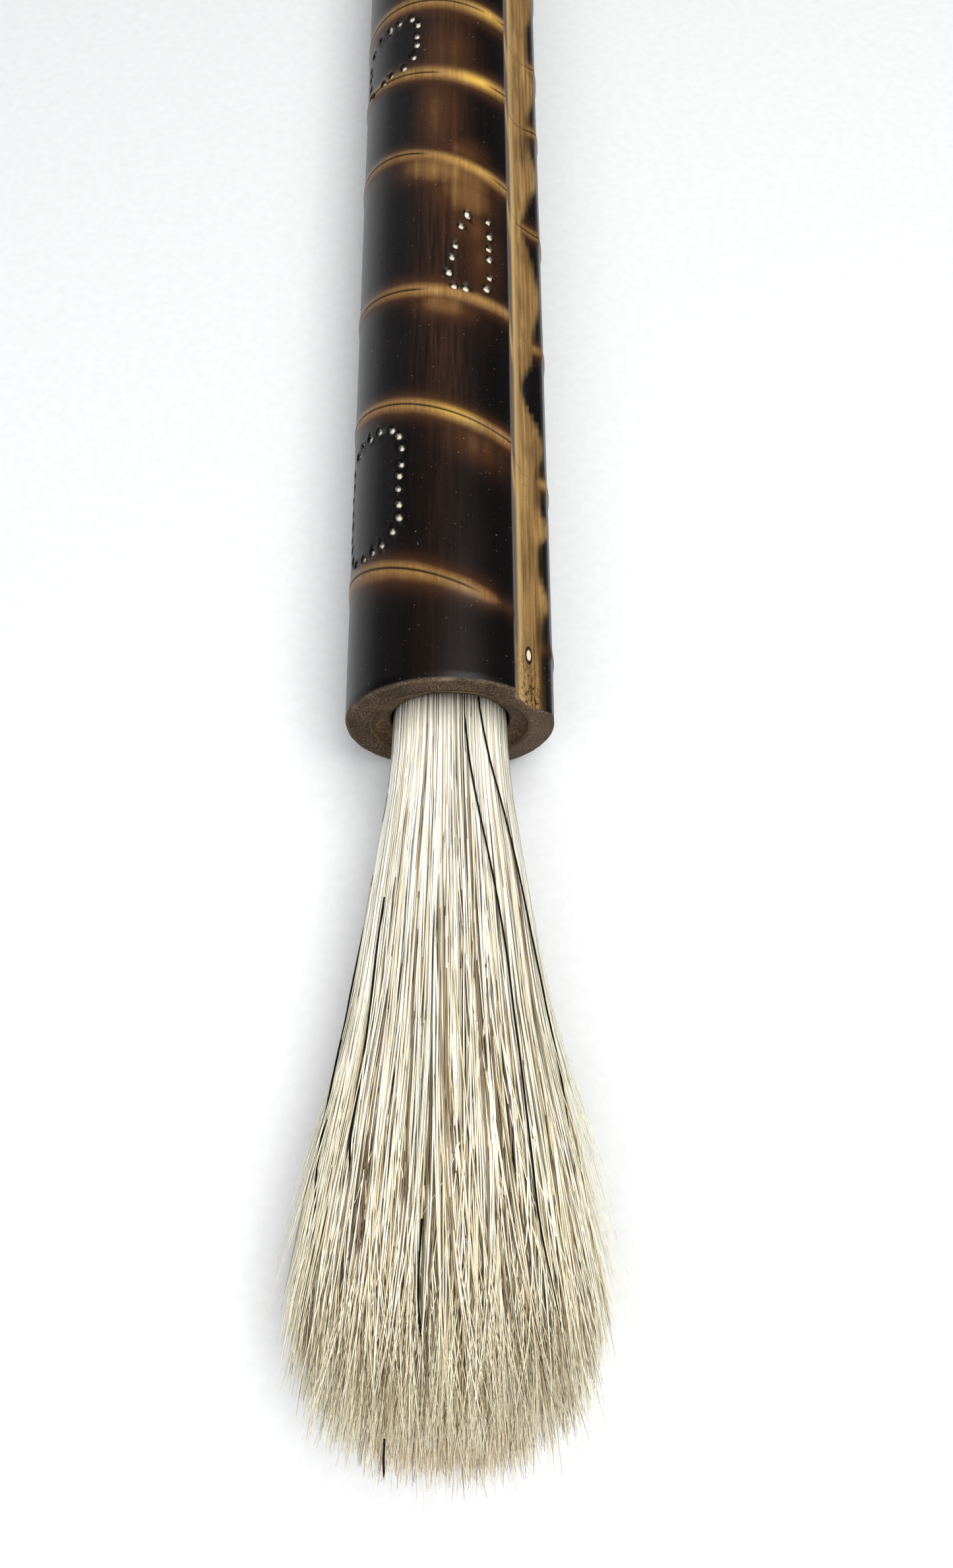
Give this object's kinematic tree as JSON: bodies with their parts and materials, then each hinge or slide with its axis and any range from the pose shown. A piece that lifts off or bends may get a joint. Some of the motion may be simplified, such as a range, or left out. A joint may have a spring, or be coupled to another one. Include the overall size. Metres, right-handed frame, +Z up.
{
  "type": "calligraphy brush",
  "caption": "Large calligraphy brush: a broad tuft of coarse pale hair bound into the end of a straight dark bamboo handle with leaning node rings and a groove.",
  "frame": {"origin": "centre of the bounding box's bottom, on the table the brush lies on", "axes": "+Y along the handle from the tuft to the butt, +Z up from the table, +X to the side the groove leans to"},
  "size_m": [0.0286, 0.2804, 0.0225],
  "materials": {
    "bamboo": "burnt and lacquered, satin, with amber bands at the nodes",
    "bush_wood": "raw end grain, dull",
    "plug_wood": "turned, lacquered",
    "cover_hair": "coarse straight animal hair, cream with tan and black hairs",
    "middle_hair": "coarse straight animal hair, ivory",
    "core_hair": "stiff straight animal hair, tan",
    "thread": "twisted undyed thread",
    "rosin": "fused amber rosin",
    "glue": "set clear-yellow adhesive"
  },
  "bodies": {
    "root": {"bamboo_handle": "bamboo", "socket_bush": "bush_wood", "butt_plug": "plug_wood", "hair_cover": "cover_hair", "hair_middle": "middle_hair", "hair_core": "core_hair", "root_binding": "thread", "core_tie": "thread", "root_seal": "rosin", "glue_bed": "glue"}
  },
  "joints": []
}
